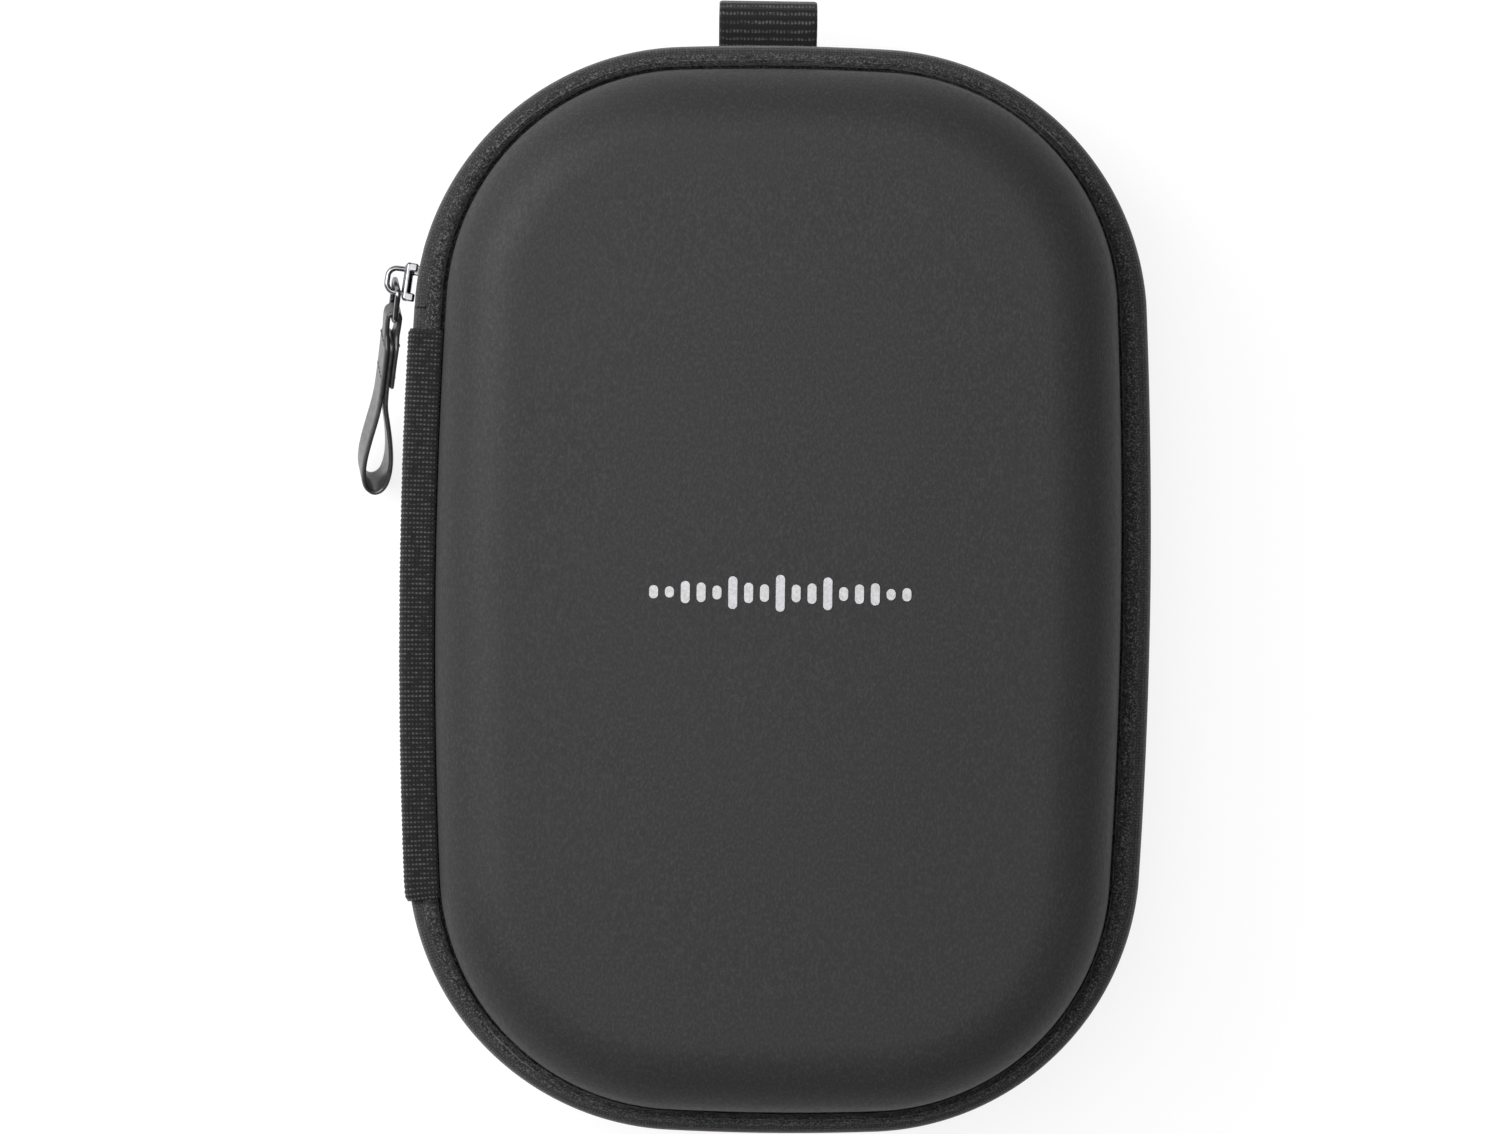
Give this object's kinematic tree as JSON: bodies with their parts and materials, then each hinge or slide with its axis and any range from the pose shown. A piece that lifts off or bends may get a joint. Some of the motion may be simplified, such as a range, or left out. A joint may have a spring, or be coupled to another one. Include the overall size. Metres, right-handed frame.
{
  "type": "headphone carrying case",
  "caption": "Oval hard-shell headphone case with two domed halves, a zip with a strap pull, a side fabric hinge, an end webbing loop and a moulded tray inside",
  "frame": {"origin": "centre of the flat back that the case rests on", "axes": "+Z out of the front face, +Y towards the hanging loop along the case's length, hinge on the -X side"},
  "size_m": [0.155, 0.22, 0.0521],
  "materials": {
    "pu_leather": "fine-grained, satin",
    "eva_foam": "closed-cell foam, matte",
    "jersey_lining": "brushed jersey, matte",
    "rim_knit": "mottled knit, matte",
    "zip_tape": "woven, matte",
    "zip_coil": "nylon coil, semi-matte",
    "tray_flock": "flocked, matte",
    "webbing": "ribbed grosgrain, matte",
    "thread": "twisted polyester",
    "pocket_net": "open net",
    "elastic": "ribbed elastic",
    "print_ink": "matte light grey ink",
    "slider_metal": "plated die-cast zinc, bright",
    "strap_leather": "smooth, satin, paler cut edge"
  },
  "bodies": {
    "base": {"base_shell": "eva_foam", "base_cover": "pu_leather", "base_lining": "jersey_lining", "base_rim_binding": "rim_knit", "base_zip_tape": "zip_tape", "base_zip_teeth": "zip_coil", "base_tray": "tray_flock", "zip_stops": "zip_coil", "hinge_outer_web": "webbing", "hinge_inner_tape": "webbing", "hang_loop": "webbing", "hang_loop_stitch": "thread"},
    "lid": {"lid_shell": "eva_foam", "lid_cover": "pu_leather", "lid_lining": "jersey_lining", "lid_rim_binding": "rim_knit", "lid_zip_tape": "zip_tape", "lid_zip_teeth": "zip_coil", "lid_pocket_binding": "webbing", "lid_pocket_mesh": "pocket_net", "lid_pocket_elastic": "elastic", "lid_print": "print_ink"},
    "slider": {"slider_body": "slider_metal", "slider_crown": "slider_metal"},
    "link": {"pull_link": "slider_metal"},
    "strap": {"pull_strap": "strap_leather", "pull_strap_stitch": "thread"}
  },
  "joints": [
    {"name": "lid_hinge", "type": "hinge", "parent": "base", "child": "lid", "pos_m": [-0.0783, 0, 0.026], "axis": [0, -1, 0], "range_deg": [0, 125], "deforming": ["hinge_outer_web", "hinge_inner_tape"]},
    {"name": "slider_travel", "type": "hinge", "parent": "base", "child": "slider", "pos_m": [-0.0178, 0.0518, 0.026], "axis": [0, 0, -1], "range_deg": [0, 74]},
    {"name": "pull_lift", "type": "hinge", "parent": "slider", "child": "link", "pos_m": [-0.07473, 0.05682, 0.026], "axis": [-0.9917, 0.1288, 0], "range_deg": [0, 108]},
    {"name": "strap_swing", "type": "hinge", "parent": "link", "child": "strap", "pos_m": [-0.07527, 0.05262, 0.02354], "axis": [-0.1429, 0.5144, -0.8456], "range_deg": [0, 50]}
  ]
}
